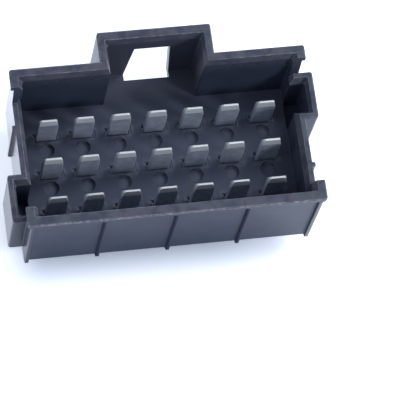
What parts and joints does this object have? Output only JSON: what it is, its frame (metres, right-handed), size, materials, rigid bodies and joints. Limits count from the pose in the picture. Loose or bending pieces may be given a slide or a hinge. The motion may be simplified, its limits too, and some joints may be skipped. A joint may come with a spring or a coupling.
{
  "type": "board pin connector",
  "caption": "Rectangular moulded shroud with rows of flat blade pins pressed into its floor, a latch pocket, staggered keyways and press-in board tails",
  "frame": {"origin": "middle of the pin field on the board face, where the housing sits on a circuit board", "axes": "+X along the rows of pins, +Y towards the latch pocket, +Z out of the mouth of the shroud"},
  "size_m": [0.0432, 0.0266, 0.019],
  "materials": {
    "housing": "moulded, fine satin, pale scuffs along the edges",
    "pin": "stamped strip, satin tin plating"
  },
  "bodies": {
    "root": {"housing": "housing", "pin_row1_col1": "pin", "pin_row1_col2": "pin", "pin_row1_col3": "pin", "pin_row1_col4": "pin", "pin_row1_col5": "pin", "pin_row1_col6": "pin", "pin_row1_col7": "pin", "pin_row2_col1": "pin", "pin_row2_col2": "pin", "pin_row2_col3": "pin", "pin_row2_col4": "pin", "pin_row2_col5": "pin", "pin_row2_col6": "pin", "pin_row2_col7": "pin", "pin_row3_col1": "pin", "pin_row3_col2": "pin", "pin_row3_col3": "pin", "pin_row3_col4": "pin", "pin_row3_col5": "pin", "pin_row3_col6": "pin", "pin_row3_col7": "pin"}
  },
  "joints": []
}
